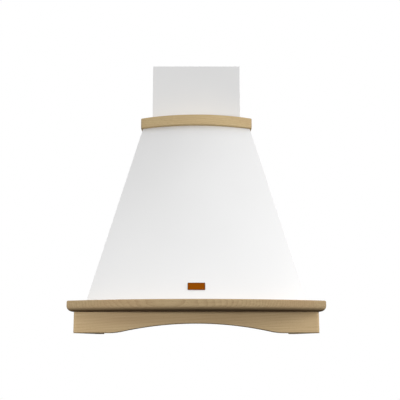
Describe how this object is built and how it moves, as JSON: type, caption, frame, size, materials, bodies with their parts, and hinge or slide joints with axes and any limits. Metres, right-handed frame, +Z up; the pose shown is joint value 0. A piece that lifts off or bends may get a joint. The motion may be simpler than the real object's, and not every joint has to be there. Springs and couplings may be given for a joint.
{
  "type": "range hood",
  "caption": "Wall-hung kitchen range hood: white tapering steel canopy with a bowed front on a beech base with an arched front board, beech collar and telescopic chimney cover.",
  "frame": {"origin": "on the wall plane, at the centre of the four hanging holes in the back plate", "axes": "+Z up, +Y into the wall, so that the front faces -Y, and +X to the right as seen from the front"},
  "size_m": [0.6, 0.5199, 0.725],
  "materials": {
    "beech": "matt lacquered straight-grained beech",
    "white_paint": "smooth satin white powder coat",
    "zinc_steel": "plain zinc-plated sheet steel",
    "panel_steel": "brushed stainless sheet",
    "bright_steel": "bright zinc-plated steel",
    "filter_aluminium": "satin aluminium",
    "copper_plate": "brushed copper-coloured plate",
    "black_plastic": "fine-grained moulded plastic",
    "grey_plastic": "smooth moulded plastic",
    "white_plastic": "smooth moulded plastic",
    "motor_enamel": "dark grey enamel",
    "magnet": "dark sintered magnet",
    "lamp_glass": "frosted glass"
  },
  "bodies": {
    "hood": {"valance_front": "beech", "skirt_left": "beech", "skirt_right": "beech", "corner_blocks": "beech", "cornice_front": "beech", "cornice_left": "beech", "cornice_right": "beech", "collar_front": "beech", "collar_left": "beech", "collar_right": "beech", "body_shell": "white_paint", "back_plate": "zinc_steel", "top_plate": "zinc_steel", "nameplate": "copper_plate", "chimney_outer": "white_paint", "chimney_strip": "zinc_steel", "bottom_panel": "panel_steel", "filter_magnets": "magnet", "hinge_pins": "bright_steel", "lamp_bezel_left": "panel_steel", "lamp_bezel_right": "panel_steel", "lamp_lens_left": "lamp_glass", "lamp_lens_right": "lamp_glass", "lamp_housing_left": "panel_steel", "lamp_housing_right": "panel_steel", "control_plate": "black_plastic", "switch_box": "black_plastic", "blower_scroll": "zinc_steel", "blower_side_left": "zinc_steel", "blower_side_right": "zinc_steel", "motor": "motor_enamel", "motor_bracket": "zinc_steel", "capacitor": "white_plastic", "terminal_box": "black_plastic", "duct_spigot": "zinc_steel", "valve_pin": "bright_steel", "cable_gland": "black_plastic", "canopy_screws": "bright_steel", "panel_screws": "bright_steel", "duct_screws": "bright_steel", "motor_screws": "bright_steel"},
    "chimney_section": {"chimney_inner": "white_paint"},
    "filter_left": {"filter_frame_left": "filter_aluminium", "filter_mesh_left": "filter_aluminium", "filter_pull_left": "black_plastic"},
    "filter_right": {"filter_frame_right": "filter_aluminium", "filter_mesh_right": "filter_aluminium", "filter_pull_right": "black_plastic"},
    "rotor": {"impeller": "black_plastic", "motor_shaft": "bright_steel"},
    "flap_front": {"valve_flap_front": "zinc_steel"},
    "flap_rear": {"valve_flap_rear": "zinc_steel"},
    "push_button_1": {"button_1": "grey_plastic"},
    "push_button_2": {"button_2": "grey_plastic"},
    "push_button_3": {"button_3": "grey_plastic"},
    "push_button_4": {"button_4": "grey_plastic"},
    "push_button_5": {"button_5": "grey_plastic"}
  },
  "joints": [
    {"name": "chimney_slide", "type": "slide", "parent": "hood", "child": "chimney_section", "axis": [0, 0, 1], "range_m": [0, 0.11]},
    {"name": "filter_left_drop", "type": "hinge", "parent": "hood", "child": "filter_left", "pos_m": [-0.1196, -0.018, -0.2866], "axis": [1, 0, 0], "range_deg": [0, 60]},
    {"name": "filter_right_drop", "type": "hinge", "parent": "hood", "child": "filter_right", "pos_m": [0.1196, -0.018, -0.2866], "axis": [1, 0, 0], "range_deg": [0, 60]},
    {"name": "impeller_spin", "type": "hinge", "parent": "hood", "child": "rotor", "pos_m": [0, -0.1725, -0.025], "axis": [1, 0, 0], "continuous": true},
    {"name": "flap_front_lift", "type": "hinge", "parent": "hood", "child": "flap_front", "pos_m": [0, -0.1175, 0.2415], "axis": [-1, 0, 0], "range_deg": [0, 80]},
    {"name": "flap_rear_lift", "type": "hinge", "parent": "hood", "child": "flap_rear", "pos_m": [0, -0.1175, 0.2415], "axis": [1, 0, 0], "range_deg": [0, 80]},
    {"name": "button_1_press", "type": "slide", "parent": "hood", "child": "push_button_1", "axis": [0, 0, 1], "range_m": [0, 0.0025], "stiffness_N_per_m": 300},
    {"name": "button_2_press", "type": "slide", "parent": "hood", "child": "push_button_2", "axis": [0, 0, 1], "range_m": [0, 0.0025], "stiffness_N_per_m": 300},
    {"name": "button_3_press", "type": "slide", "parent": "hood", "child": "push_button_3", "axis": [0, 0, 1], "range_m": [0, 0.0025], "stiffness_N_per_m": 300},
    {"name": "button_4_press", "type": "slide", "parent": "hood", "child": "push_button_4", "axis": [0, 0, 1], "range_m": [0, 0.0025], "stiffness_N_per_m": 300},
    {"name": "button_5_press", "type": "slide", "parent": "hood", "child": "push_button_5", "axis": [0, 0, 1], "range_m": [0, 0.0025], "stiffness_N_per_m": 300}
  ]
}
